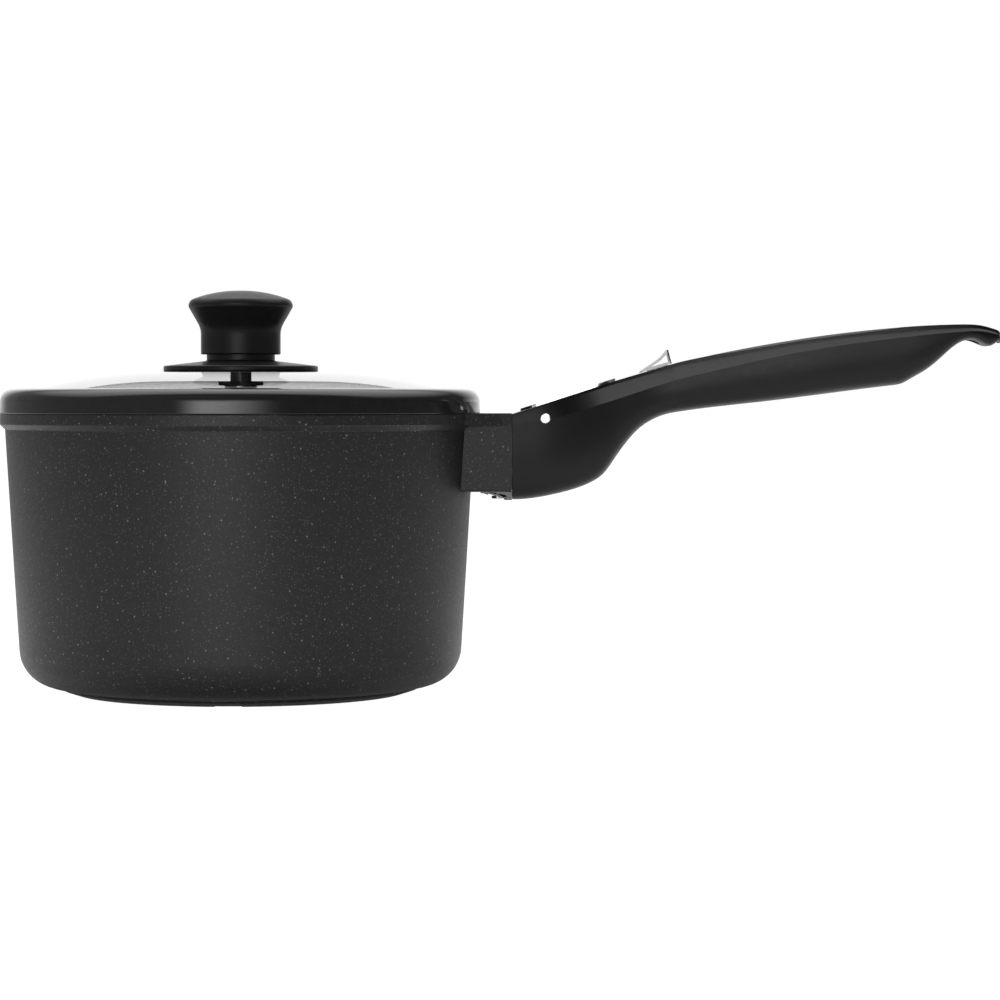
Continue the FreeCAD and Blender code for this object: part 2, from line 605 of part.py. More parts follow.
def handle_body():
    body = Part.makeLoft([handle_section(x) for x in handle_stations()], True, False)
    half, bottom, top = core_section(CORE_GAP)
    seat = core_screw_seat()
    cuts = [block(-1, CORE_LENGTH + CORE_GAP, half, bottom, top), latch_space()]
    cuts.append(rod(PIN_RADIUS + PIN_BORE_GAP, Vec(PIN_X, -40, PIN_Z), Vec(PIN_X, 40, PIN_Z)))
    side = smooth(HALF_WIDTH, PIN_X) - PIN_SINK_DEPTH
    for y in (-1, 1):
        sink = Vec(PIN_X, y * side, PIN_Z)
        cuts.append(rod(PIN_RADIUS + PIN_SINK_GAP, sink, Vec(PIN_X, y * 40, PIN_Z)))
    start, end = FRONT_TRIM
    wide = FRONT_TRIM_HALF_WIDTH + TRIM_GAP
    cuts.append(trim_strip(start - TRIM_GAP, end + TRIM_GAP, wide, -TRIM_DEPTH, 4))
    cuts.append(dished_strip(GRIP_HALF_WIDTH, 0.0, 4.0))
    cuts.append(dished_strip(GRIP_TRIM_HALF_WIDTH + TRIM_GAP, TRIM_DEPTH, 4.0))
    for x in SCREW_POSITIONS:
        cuts.append(rod(SCREW_RADIUS + 0.25, Vec(x, 0, seat - 1), Vec(x, 0, bottom + 1)))
        cuts.append(rod(SCREW_HEAD_RADIUS + 0.35, Vec(x, 0, HANDLE_BOTTOM - 5), Vec(x, 0, seat)))
    hole_x = HANDLE_LENGTH - HANG_HOLE_FROM_TIP
    cuts.append(rod(HANG_HOLE_RADIUS, Vec(hole_x, 0, 0), Vec(hole_x, 0, 60)))
    return at_seam(body.cut(cuts))


def core_screw_seat():
    """Height that the core screws' heads pull against."""
    return core_section(0)[1] - SCREW_SEAT_DROP


def handle_core():
    """Steel channel that reaches into the bracket's socket."""
    half, bottom, top = core_section(0)
    front = -SEAM_GAP / 2 - SOCKET_LENGTH + MOVING_GAP
    core = block(front, CORE_LENGTH, half, bottom, top)
    channel = block(front - 1, CORE_LENGTH + 1, CARRIAGE_HALF + MOVING_GAP, CORE_FLOOR, top + 1)
    holes = [rod(SCREW_RADIUS + PIN_BORE_GAP, Vec(x, 0, bottom - 1), Vec(x, 0, CORE_FLOOR + 1))
             for x in SCREW_POSITIONS]
    return at_seam(core.cut([channel] + holes))


def core_screws():
    seat = core_screw_seat()
    screws = []
    for x in SCREW_POSITIONS:
        screw = turned([
            (0, seat - SCREW_HEAD_HEIGHT), (SCREW_HEAD_RADIUS, seat - SCREW_HEAD_HEIGHT, 0.7),
            (SCREW_HEAD_RADIUS, seat), (SCREW_RADIUS, seat), (SCREW_RADIUS, CORE_FLOOR - 0.6, 0.4),
            (0, CORE_FLOOR - 0.6),
        ])
        screw.translate(Vec(x, 0, 0))
        screw = screw.cut(hex_recess(Vec(x, 0, seat - SCREW_HEAD_HEIGHT), 1.3, 1.4))
        screws.append(at_seam(screw))
    return Part.makeCompound(screws)


def hex_recess(place, radius, depth):
    """Six-sided driver recess cut upwards from a point."""
    points = []
    for i in range(6):
        angle = math.radians(60 * i)
        points.append((place.x + radius * math.cos(angle), place.y + radius * math.sin(angle)))
    return plan_prism(points, place.z - 0.5, place.z + depth)


def cross_pin():
    half = smooth(HALF_WIDTH, PIN_X) - PIN_END_INSET
    pin = rod(PIN_RADIUS, Vec(PIN_X, -half, PIN_Z), Vec(PIN_X, half, PIN_Z))
    ends = [edge for edge in pin.Edges if edge.Closed and edge.Length > 1]
    return at_seam(pin.makeChamfer(0.25, ends))


def front_trim():
    """Bright strip over the latch, with three small sunk dots."""
    start, end = FRONT_TRIM
    strip = trim_strip(start, end, FRONT_TRIM_HALF_WIDTH, -TRIM_DEPTH, TRIM_PROUD)
    dots = []
    for i in range(DOT_COUNT):
        x = start + DOT_START + DOT_PITCH * i
        top = land_height(x) + TRIM_PROUD
        dots.append(block(x, x + DOT_LENGTH, DOT_HALF_WIDTH, top - DOT_DEPTH, top + 4))
    return at_seam(strip.cut(dots))


def grip_trim():
    """Strip let into the dished top of the grip; its own top carries on the line of the handle."""
    strip = dished_strip(GRIP_TRIM_HALF_WIDTH, TRIM_DEPTH, 0.0)
    start, end = GRIP_TRIM
    return at_seam(strip.common(block(start + TRIM_GAP, end - TRIM_GAP, GRIP_TRIM_HALF_WIDTH, 0, 60)))


# ================================================================ latch
def release_slider():
    """Thumb tab: a scooped wedge, open from side to side, with a neck through the handle's slot."""
    tab = plate([
        (TAB_FRONT, RUNNING_GAP), (TAB_FRONT, RUNNING_GAP + 0.4, 0.2), (-1.2, 2.3, 20.0),
        (3.3, 3.7, 14.0), (TAB_BACK + 0.2, TAB_HEIGHT, 0.2), (TAB_BACK, RUNNING_GAP),
    ], TAB_HALF_WIDTH)
    tab = tab.common(rounded_block(TAB_FRONT, TAB_BACK + 0.2, TAB_HALF_WIDTH, 0, 10, 0.7))
    window = plate([(-1.9, 1.3), (0.0, 1.75), (3.3, 2.85), (6.55, 4.9), (6.4, 1.3)], TAB_HALF_WIDTH + 1)
    neck = block(NECK_FRONT, NECK_BACK, NECK_HALF, -TOP_WALL - RUNNING_GAP, RUNNING_GAP + 0.1)
    radius = SLIDER_SCREW_RADIUS + PIN_BORE_GAP
    hole = rod(radius, Vec(SLIDER_SCREW_X, 0, -10), Vec(SLIDER_SCREW_X, 0, 1.1))
    return at_seam(in_slider_frame(tab.fuse(neck).removeSplitter().cut([hole, window])))


def slider_carriage():
    """Runs under the handle's top; its ramp lifts the lever's tail."""
    roof_top = -TOP_WALL - RUNNING_GAP
    roof_bottom = -TOP_WALL - CARRIAGE_ROOF
    roof = plate([
        (-8.6, roof_top), (CARRIAGE_BACK, roof_top), (CARRIAGE_BACK, roof_bottom), (-8.6, roof_bottom),
    ], CARRIAGE_HALF)
    cheeks = plate([
        (CARRIAGE_FRONT, -9.0), (-12.0, roof_top), (-6.0, roof_top),
        (-6.0, -9.0), (-14.0, CARRIAGE_FLOOR), (CARRIAGE_FRONT, CARRIAGE_FLOOR),
    ], CARRIAGE_HALF)
    gap = block(CARRIAGE_FRONT - 1, -8.6, LEVER_HALF_THICKNESS + MOVING_GAP, CARRIAGE_FLOOR - 1, 0)
    ramp = plate([
        (CARRIAGE_FRONT, CARRIAGE_FLOOR), (CARRIAGE_FRONT, -12.4), (-8.6, -6.9),
        (-8.0, -9.0), (-14.0, CARRIAGE_FLOOR),
    ], CARRIAGE_HALF)
    radius = SLIDER_SCREW_RADIUS + PIN_BORE_GAP
    hole = rod(radius, Vec(SLIDER_SCREW_X, 0, -20), Vec(SLIDER_SCREW_X, 0, 1))
    carriage = cheeks.cut(gap).fuse([roof, ramp]).cut(hole)
    return at_seam(in_slider_frame(carriage.removeSplitter()))


def slider_screw():
    seat = -TOP_WALL - CARRIAGE_ROOF
    radius = SLIDER_SCREW_RADIUS
    screw = turned([
        (0, seat - 1.6), (radius + 1.2, seat - 1.6, 0.5), (radius + 1.2, seat), (radius, seat),
        (radius, 0.8, 0.3), (0, 0.8),
    ])
    screw.translate(Vec(SLIDER_SCREW_X, 0, 0))
    return at_seam(in_slider_frame(screw))


def thick_line(start, end, half_thickness):
    """Bar between two (x, z) points, for the lever's arms."""
    along = Vec(end[0] - start[0], 0, end[1] - start[1]).normalize()
    across = Vec(-along.z, 0, along.x) * half_thickness
    a = Vec(start[0], 0, start[1])
    b = Vec(end[0], 0, end[1])
    corners = [a - across, a + across, b + across, b - across]
    return plate([(corner.x, corner.z) for corner in corners], LEVER_HALF_THICKNESS)


def latch_lever():
    """Rocking lever on the cross pin: hook into the bracket, tail over the slider's ramp."""
    thick = LEVER_HALF_THICKNESS
    boss = rod(LEVER_BOSS, Vec(PIN_X, -thick, PIN_Z), Vec(PIN_X, thick, PIN_Z))
    knee = (3.4, (ARM_TOP + ARM_BOTTOM) / 2 + 0.2)
    drop = thick_line((PIN_X, PIN_Z), knee, 2.2)
    arm = plate([
        (HOOK_FRONT, ARM_BOTTOM), (HOOK_FRONT, HOOK_TOP - 1.0), (HOOK_FRONT + 1.4, HOOK_TOP, 0.3),
        (HOOK_BACK, HOOK_TOP, 0.3), (HOOK_BACK, ARM_TOP), (5.0, ARM_TOP), (5.0, ARM_BOTTOM, 1.5),
    ], thick)
    tail = thick_line((PIN_X, PIN_Z), (TAIL_X, TAIL_Z), TAIL_RADIUS)
    nose = rod(TAIL_RADIUS, Vec(TAIL_X, -thick, TAIL_Z), Vec(TAIL_X, thick, TAIL_Z))
    lever = boss.fuse([drop, arm, tail, nose])
    bore = rod(PIN_RADIUS + PIN_BORE_GAP, Vec(PIN_X, -9, PIN_Z), Vec(PIN_X, 9, PIN_Z))
    return at_seam(lever.cut(bore).removeSplitter())


def latch_spring():
    """Torsion coil on the cross pin beside the lever."""
    helix = Part.makeHelix(SPRING_PITCH, SPRING_PITCH * SPRING_TURNS, SPRING_COIL_RADIUS)
    circle = Part.makeCircle(SPRING_WIRE_RADIUS, Vec(SPRING_COIL_RADIUS, 0, 0), Vec(0, 1, 0))
    coil = Part.Wire(helix.Edges).makePipeShell([Part.Wire(circle)], True, True)
    coil.rotate(Vec(0, 0, 0), Vec(1, 0, 0), -90)
    coil.translate(Vec(PIN_X, LEVER_HALF_THICKNESS + MOVING_GAP + SPRING_WIRE_RADIUS, PIN_Z))
    return at_seam(coil)


# ================================================================ flame guard
def guard_shape(inset):
    """Shallow keel under the bracket, smaller all round by the inset."""
    top = BRACKET_BOTTOM
    back = BRACKET_FRONT - inset
    keel = GUARD_KEEL + inset
    tip = BRACKET_FRONT - GUARD_LENGTH + 2.5 * inset
    edge = GUARD_EDGE - 0.4 * inset
    side = plate([
        (tip, top), (back, top), (back, keel), (back - 2.4, keel, 2.0), (tip + 1.0, top - edge - 0.1),
        (tip, top - edge),
    ], BRACKET_HALF_WIDTH)
    upper = BRACKET_HALF_WIDTH - GUARD_TOP_INSET - inset
    lower = upper - GUARD_FLANK
    across = Part.Face(Part.makePolygon([
        Vec(0, -upper, top), Vec(0, -lower, keel), Vec(0, lower, keel), Vec(0, upper, top),
        Vec(0, -upper, top),
    ]))
    return side.common(across.extrude(Vec(BRACKET_FRONT + 10, 0, 0)))


def guard_slots():
    """Oblong openings through both flanks, sloping down towards the handle."""
    end = GUARD_SLOT_WIDTH / 2
    reach = GUARD_SLOT_LENGTH / 2 - end
    slot = block(-reach, reach, BRACKET_HALF_WIDTH, -end, end)
    for x in (-reach, reach):
        slot = slot.fuse(rod(end, Vec(x, -BRACKET_HALF_WIDTH, 0), Vec(x, BRACKET_HALF_WIDTH, 0)))
    slot = slot.cut(block(-BRACKET_REACH, BRACKET_REACH, GUARD_POST_RADIUS + 1, -5, 5))
    slot.rotate(Vec(0, 0, 0), Vec(0, 1, 0), GUARD_SLOT_TILT)
    slot.translate(Vec(BRACKET_FRONT - GUARD_SLOT_FROM_FRONT, 0, BRACKET_BOTTOM - GUARD_DEPTH / 2 + 0.1))
    return slot


def flame_guard():
    """Stainless steel keel with one oblong opening on each flank."""
    bottom = Vec(GUARD_SCREW_X, 0, GUARD_KEEL - 1)
    seat = Vec(GUARD_SCREW_X, 0, GUARD_KEEL + GUARD_HEAD_HEIGHT)
    top = Vec(GUARD_SCREW_X, 0, BRACKET_BOTTOM + 1)
    hollow = guard_shape(GUARD_WALL).cut(rod(GUARD_POST_RADIUS, bottom, top))
    head_room = rod(GUARD_HEAD_RADIUS + PIN_BORE_GAP, bottom, seat)
    hole = rod(GUARD_SCREW_RADIUS + PIN_BORE_GAP, bottom, top)
    return guard_shape(0.0).cut([hollow, guard_slots(), head_room, hole])


def guard_screw():
    """Screw up through the guard's post, its head flush with the keel."""
    seat = GUARD_KEEL + GUARD_HEAD_HEIGHT
    end = BRACKET_BOTTOM + GUARD_SCREW_DEPTH - 0.5
    screw = turned([
        (0, GUARD_KEEL + 0.1), (GUARD_HEAD_RADIUS, GUARD_KEEL + 0.1, 0.3), (GUARD_HEAD_RADIUS, seat),
        (GUARD_SCREW_RADIUS, seat), (GUARD_SCREW_RADIUS, end, 0.3), (0, end),
    ])
    screw.translate(Vec(GUARD_SCREW_X, 0, 0))
    return screw.cut(hex_recess(Vec(GUARD_SCREW_X, 0, GUARD_KEEL + 0.1), 0.9, 0.7))


# ================================================================ lid
def dome_knee(radius, level):
    """Corner point whose rounding is the dome's arc, for an arc of this radius."""
    return GLASS_FLAT_RADIUS + radius * math.tan(DOME_ANGLE / 2), level, radius


def dome_end(radius, level):
    """Place where the dome's arc of this radius stops at the glass edge."""
    return (GLASS_FLAT_RADIUS + radius * math.sin(DOME_ANGLE),
            level - radius * (1 - math.cos(DOME_ANGLE)))


def lid_glass():
    inner = GLASS_DOME_RADIUS - GLASS_THICKNESS
    top_end = dome_end(GLASS_DOME_RADIUS, GLASS_TOP)
    under_end = dome_end(inner, GLASS_UNDER)
    return turned([
        (GLASS_HOLE_RADIUS, GLASS_UNDER), (GLASS_HOLE_RADIUS, GLASS_TOP),
        dome_knee(GLASS_DOME_RADIUS, GLASS_TOP), (*top_end, 0.8), (*under_end, 0.8),
        dome_knee(inner, GLASS_UNDER),
    ])


def dome_height(radius, reach, level):
    """Height of the dome's arc of this radius at a distance from the lid's axis."""
    return level - radius * (1 - math.sqrt(1 - ((reach - GLASS_FLAT_RADIUS) / radius) ** 2))


def skirt_outer():
    """Outside of the skirt that reaches into the pan."""
    return inner_radius(SKIRT_BOTTOM) - SKIRT_GAP


def lid_ring():
    """Moulded ring round the glass that sits on the rim, with a skirt inside the pan."""
    skirt_inner = skirt_outer() - SKIRT_WIDTH
    cover_radius = RING_RADIUS - RING_COVER
    inner_top = dome_height(GLASS_DOME_RADIUS, cover_radius, GLASS_TOP) + RING_LIP
    top = inner_top - RING_CROWN
    ring = turned([
        (skirt_inner, SKIRT_BOTTOM, 0.8), (skirt_outer(), SKIRT_BOTTOM, 0.8),
        (skirt_outer() + 0.4, PAN_HEIGHT), (RING_RADIUS, PAN_HEIGHT, 0.4),
        (RING_RADIUS - 0.2, top - 0.6, RING_SHOULDER), (RING_RADIUS - 8.0, top, 12.0),
        (cover_radius, inner_top), (cover_radius, GLASS_UNDER - 8.5),
        (skirt_inner, PAN_HEIGHT + 1.0),
    ])
    return ring.cut(lid_glass()).cut(below_glass())


def below_glass():
    """Space under the glass inside the skirt, so that the ring only laps over the glass."""
    inner = GLASS_DOME_RADIUS - GLASS_THICKNESS
    skirt_inner = skirt_outer() - SKIRT_WIDTH
    angle = math.asin((skirt_inner - GLASS_FLAT_RADIUS) / inner)
    return turned([
        (0, SKIRT_BOTTOM - 10), (skirt_inner, SKIRT_BOTTOM - 10),
        (skirt_inner, dome_height(inner, skirt_inner, GLASS_UNDER)),
        (GLASS_FLAT_RADIUS + inner * math.tan(angle / 2), GLASS_UNDER, inner), (0, GLASS_UNDER),
    ])


# ================================================================ knob
def knob_base():
    """Flared disc on the glass with a short neck."""
    z = GLASS_TOP
    gasket_radius = KNOB_NECK_RADIUS + GASKET_OVERHANG
    return turned([
        (KNOB_INSERT_RADIUS + PIN_BORE_GAP, z + GASKET_THICKNESS),
        (gasket_radius, z + GASKET_THICKNESS), (gasket_radius, z),
        (KNOB_DISC_RADIUS, z, 0.5), (KNOB_DISC_RADIUS, z + KNOB_DISC_EDGE, 0.7),
        (KNOB_NECK_RADIUS + 0.4, z + KNOB_DISC_HEIGHT, 0.6),
        (KNOB_NECK_RADIUS, z + KNOB_DISC_HEIGHT + 0.4),
        (KNOB_NECK_RADIUS, KNOB_SEAT),
        (KNOB_INSERT_RADIUS + PIN_BORE_GAP, KNOB_SEAT),
    ])


def base_gasket():
    """Rubber washer let into the knob's disc, against the glass."""
    outer = KNOB_NECK_RADIUS + GASKET_OVERHANG - PIN_BORE_GAP
    return turned([
        (KNOB_INSERT_RADIUS + 1.0, GLASS_TOP), (outer, GLASS_TOP),
        (outer, GLASS_TOP + GASKET_THICKNESS), (KNOB_INSERT_RADIUS + 1.0, GLASS_TOP + GASKET_THICKNESS),
    ])


def knob_grip():
    """Grip that widens to a domed top, hollow for the brass insert."""
    z = KNOB_SEAT
    top = z + KNOB_GRIP_HEIGHT
    shoulder = top - KNOB_DOME_HEIGHT
    bore = KNOB_INSERT_RADIUS + PIN_BORE_GAP
    roof = z + KNOB_INSERT_LENGTH - KNOB_NECK_HEIGHT - KNOB_INSERT_DROP + 0.2
    half_dome = (KNOB_TOP_RADIUS - 1.2) / 2
    return turned([
        (bore, z), (KNOB_GRIP_RADIUS, z, 0.5), (KNOB_GRIP_RADIUS, shoulder - 11.4, 9.0),
        (KNOB_TOP_RADIUS, shoulder - 2.3, 2.2), (KNOB_TOP_RADIUS - 1.2, shoulder, 2.6),
        (half_dome, top, KNOB_DOME_RADIUS), (0, top), (0, roof), (bore, roof),
    ])


def knob_insert():
    """Threaded brass insert moulded into the knob."""
    z = GLASS_TOP + KNOB_DISC_HEIGHT - KNOB_INSERT_DROP
    bore = KNOB_SCREW_RADIUS + PIN_BORE_GAP
    top = z + KNOB_INSERT_LENGTH
    return turned([
        (bore, z), (KNOB_INSERT_RADIUS, z, 0.4), (KNOB_INSERT_RADIUS, top - 0.4, 0.4), (bore, top - 0.4),
    ])


def glass_grommet():
    """Rubber sleeve through the glass with a flange under it."""
    under = GLASS_UNDER - GROMMET_THICKNESS
    bore = KNOB_SCREW_RADIUS + 0.1
    sleeve = GLASS_HOLE_RADIUS - 0.1
    return turned([
        (bore, under), (GROMMET_RADIUS, under, 0.6), (GROMMET_RADIUS, GLASS_UNDER),
        (sleeve, GLASS_UNDER), (sleeve, GLASS_TOP), (bore, GLASS_TOP),
    ])


def screw_washer():
    top = GLASS_UNDER - GROMMET_THICKNESS
    return turned([
        (KNOB_SCREW_RADIUS + 0.2, top - WASHER_THICKNESS), (WASHER_RADIUS, top - WASHER_THICKNESS, 0.3),
        (WASHER_RADIUS, top, 0.3), (KNOB_SCREW_RADIUS + 0.2, top),
    ])


def knob_screw():
    seat = GLASS_UNDER - GROMMET_THICKNESS - WASHER_THICKNESS
    face = seat - KNOB_HEAD_HEIGHT
    end = GLASS_TOP + KNOB_DISC_HEIGHT + KNOB_SCREW_REACH
    screw = turned([
        (0, face), (KNOB_HEAD_RADIUS, face, 1.0), (KNOB_HEAD_RADIUS, seat), (KNOB_SCREW_RADIUS, seat),
        (KNOB_SCREW_RADIUS, end, 0.5), (0, end),
    ])
    low, high = face - 0.5, face + 1.1
    slots = [block(-2.2, 2.2, 0.45, low, high), block(-0.45, 0.45, 2.2, low, high)]
    return screw.cut(slots)


# ================================================================ output
PIECES = [
    pan_body, induction_plate, flame_guard, guard_screw,
    handle_body, handle_core, core_screws, cross_pin, front_trim, grip_trim,
    release_slider, slider_carriage, slider_screw, latch_lever, latch_spring,
    lid_glass, lid_ring, knob_base, base_gasket, knob_grip, knob_insert,
    glass_grommet, screw_washer, knob_screw,
]

os.makedirs("parts", exist_ok=True)
for piece in PIECES:
    solid = piece()
    solid.exportStep("parts/" + piece.__name__ + ".step")
    print(piece.__name__, len(solid.Solids), round(solid.Volume, 1), solid.isValid())
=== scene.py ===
"""Looks of the saucepan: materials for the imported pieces, a white studio and the camera."""
import json

import bpy
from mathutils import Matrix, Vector

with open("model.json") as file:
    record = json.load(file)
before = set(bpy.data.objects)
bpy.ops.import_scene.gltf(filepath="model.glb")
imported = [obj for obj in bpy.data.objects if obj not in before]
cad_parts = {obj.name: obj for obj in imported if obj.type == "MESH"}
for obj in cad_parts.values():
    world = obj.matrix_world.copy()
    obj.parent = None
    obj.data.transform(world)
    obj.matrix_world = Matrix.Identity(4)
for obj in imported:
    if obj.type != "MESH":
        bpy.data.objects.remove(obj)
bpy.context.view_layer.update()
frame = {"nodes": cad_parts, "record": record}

# Camera: places in metres, lens and sensor in millimetres.
EYE = (0.1036, -1.296, 0.1183)
TARGET = (0.1036, 0.0, 0.0769)
LENS = 116.6
SENSOR = 36.0
CLIP = (0.01, 100.0)

# Studio: levels of the surroundings by direction, 1 is white.
SIDE_SPAN = (-0.6, 0.5)      # direction's X over which the left level turns into the right one
LEFT_LEVEL = 0.32
RIGHT_LEVEL = 0.09
BACK_LEVEL = 1.1
BACK_SPAN = (0.70, 1.0)      # direction's Y where the bright back begins and is full
TOP_LEVEL = 2.7
TOP_SPAN = (0.35, 0.9)       # the same for the top, by the direction's Z
TOP_DEPTH = (-0.35, 0.0)     # by Y: the top light lies over and behind the object, not in front
LAMP_LEVEL = 5.0             # soft light behind the camera: by X, rises and then falls
LAMP_RISE = (-0.46, -0.22)
LAMP_FALL = (-0.16, 0.42)
LAMP_BOTTOM = (-0.35, -0.23)  # by Z: rises at the bottom and falls at the top
LAMP_TOP = (0.15, 0.40)
LAMP_DEPTH = (-0.9, -0.6)    # by Y: falls away from straight behind the camera
FLOOR_HALF = 60.0            # half the floor's side, in metres
FLOOR_WHITE = (0.90, 0.92)
FLOOR_GLOW = 1.20            # the floor's own white
FLOOR_GLOW_SHARE = 0.12      # how much of the floor it makes up, and how much more as seen directly
FLOOR_GLOW_SEEN = 0.73
FLOOR_NEAR = 0.35            # painted pool of light on the floor: white out to this many metres, then painted darker from FLOOR_FAR on, down to the level below
FLOOR_FAR = 0.9
FLOOR_PAINTED_SHADE_LEVEL = 0.30

GLASS_TINT = 0.905           # light let through each surface
GLASS_GLOSS_IOR = 1.13       # how soon the glass's gloss grows towards a glancing view

# Coating: grey between the speckles, and layers of speckles as cell size in metres, share of the
# cells that have one, radius in cells, and strength.
COAT_DARK = 0.003
COAT_LIGHT = 0.008
SPECK_LEVEL = 0.62
SPECKLES = ((0.0021, 0.50, 0.20, 0.28), (0.0010, 0.8, 0.30, 0.12))


# ================================================================ shader helpers
class Shader:
    """A node material with short calls for the nodes that it needs."""

    def __init__(self, name):
        self.material = bpy.data.materials.new(name)
        self.material.use_nodes = True
        self.tree = self.material.node_tree
        self.bsdf = self.tree.nodes["Principled BSDF"]
        self.place = None

    def add(self, kind, **values):
        node = self.tree.nodes.new(kind)
        for name, value in values.items():
            setattr(node, name, value)
        return node

    def link(self, source, target):
        self.tree.links.new(source, target)

    def set(self, **sockets):
        """Constant values straight on the shader's own sockets."""
        for name, value in sockets.items():
            self.bsdf.inputs[name.replace("_", " ")].default_value = value
        return self

    def where(self):
        """Object coordinates, in metres."""
        if self.place is None:
            self.place = self.add("ShaderNodeTexCoord").outputs["Object"]
        return self.place

    def noise(self, size, detail=2.0, roughness=0.5):
        """Noise whose features are about this many metres across."""
        node = self.add("ShaderNodeTexNoise")
        node.inputs["Scale"].default_value = 1.0 / size
        node.inputs["Detail"].default_value = detail
        node.inputs["Roughness"].default_value = roughness
        self.link(self.where(), node.inputs["Vector"])
        return node.outputs["Fac"]

    def cells(self, size):
        """Voronoi cells of about this size, with a distance from the middle and a colour each."""
        node = self.add("ShaderNodeTexVoronoi")
        node.inputs["Scale"].default_value = 1.0 / size
        self.link(self.where(), node.inputs["Vector"])
        return node

    def ramp(self, value, stops):
        """Grey levels: (position, level) stops."""
        node = self.add("ShaderNodeValToRGB")
        elements = node.color_ramp.elements
        while len(elements) < len(stops):
            elements.new(0.5)
        for element, (position, level) in zip(elements, stops):
            element.position = position
            element.color = (level, level, level, 1.0)
        self.link(value, node.inputs["Fac"])
        return node.outputs["Color"]

    def math(self, operation, a, b):
        node = self.add("ShaderNodeMath", operation=operation)
        for socket, value in zip(node.inputs, (a, b)):
            if isinstance(value, (int, float)):
                socket.default_value = value
            else:
                self.link(value, socket)
        return node.outputs["Value"]

    def mix(self, factor, a, b):
        """Blend of two colours or sockets by a factor."""
        node = self.add("ShaderNodeMix", data_type="RGBA")
        for name, value in (("Factor", factor), ("A", a), ("B", b)):
            socket = [s for s in node.inputs if s.name == name and s.type in ("VALUE", "RGBA")]
            socket = [s for s in socket if s.type == ("VALUE" if name == "Factor" else "RGBA")][0]
            if isinstance(value, (int, float, tuple)):
                socket.default_value = value
            else:
                self.link(value, socket)
        return [s for s in node.outputs if s.type == "RGBA"][0]

    def blend(self, factor, first, second):
        """The material shows a mix of two shaders."""
        node = self.add("ShaderNodeMixShader")
        self.link(factor, node.inputs[0])
        self.link(first, node.inputs[1])
        self.link(second, node.inputs[2])
        self.link(node.outputs["Shader"], self.tree.nodes["Material Output"].inputs["Surface"])

    def bump(self, height, strength, distance):
        node = self.add("ShaderNodeBump")
        node.inputs["Strength"].default_value = strength
        node.inputs["Distance"].default_value = distance
        self.link(height, node.inputs["Height"])
        self.link(node.outputs["Normal"], self.bsdf.inputs["Normal"])
        return self

    def base(self, color):
        self.link(color, self.bsdf.inputs["Base Color"])
        return self

    def rough(self, value):
        self.link(value, self.bsdf.inputs["Roughness"])
        return self


def grey(level):
    return (level, level, level, 1.0)


# ================================================================ materials
def coating():
    """Dark stone-look non-stick coating: fine light speckles of mixed size over a dark grey."""
    s = Shader("speckled_coating")
    s.set(Specular_IOR_Level=0.44)
    speck = None
    for size, share, reach, strength in SPECKLES:
        cells = s.cells(size)
        dots = s.ramp(cells.outputs["Distance"], [(reach * 0.6, 1.0), (reach, 0.0)])
        split = s.add("ShaderNodeSeparateColor")
        s.link(cells.outputs["Color"], split.inputs["Color"])
        stops = [(1.0 - share, 0.0), (1.0 - share * 0.5, 0.5), (1.0, 1.0)]
        chosen = s.ramp(split.outputs["Red"], stops)
        layer = s.math("MULTIPLY", s.math("MULTIPLY", dots, chosen), strength)
        speck = layer if speck is None else s.math("MAXIMUM", speck, layer)
    mottle = s.ramp(s.noise(0.0009, 3.0, 0.6), [(0.35, COAT_DARK), (0.65, COAT_LIGHT)])
    s.base(s.mix(speck, mottle, grey(SPECK_LEVEL)))
    s.rough(s.ramp(s.noise(0.0012, 2.0), [(0.3, 0.38), (0.7, 0.48)]))
    s.bump(s.noise(0.0007, 2.0), 0.2, 0.0001)
    return s.material


def black_plastic(name, level, roughness, gloss=0.5, grain=0.0004, strength=0.12):
    """Moulded black material with a slight mottle and a fine grain on its surface."""
    s = Shader(name)
    s.set(Specular_IOR_Level=gloss)
    s.base(s.ramp(s.noise(0.004, 2.0), [(0.3, level * 0.9), (0.7, level * 1.1)]))
    s.rough(s.ramp(s.noise(0.002, 2.0), [(0.3, roughness - 0.03), (0.7, roughness + 0.03)]))
    s.bump(s.noise(grain, 2.0), strength, 0.00004)
    return s.material


def metal(name, level, roughness, grain=0.0003):
    """Metal of one grey level, uneven in shade and in sheen."""
    s = Shader(name)
    s.set(Metallic=1.0)
    s.base(s.ramp(s.noise(0.002, 2.0), [(0.3, level * 0.95), (0.7, level)]))
    s.rough(s.ramp(s.noise(grain, 2.0), [(0.3, roughness * 0.85), (0.7, roughness * 1.15)]))
    return s.material


def brass():
    """Turned brass, uneven in shade and in sheen."""
    s = Shader("turned_brass")
    s.set(Metallic=1.0)
    level = s.noise(0.002, 2.0)
    s.base(s.mix(level, (0.52, 0.36, 0.14, 1.0), (0.62, 0.45, 0.2, 1.0)))
    s.rough(s.ramp(s.noise(0.0005, 2.0), [(0.3, 0.25), (0.7, 0.35)]))
    return s.material


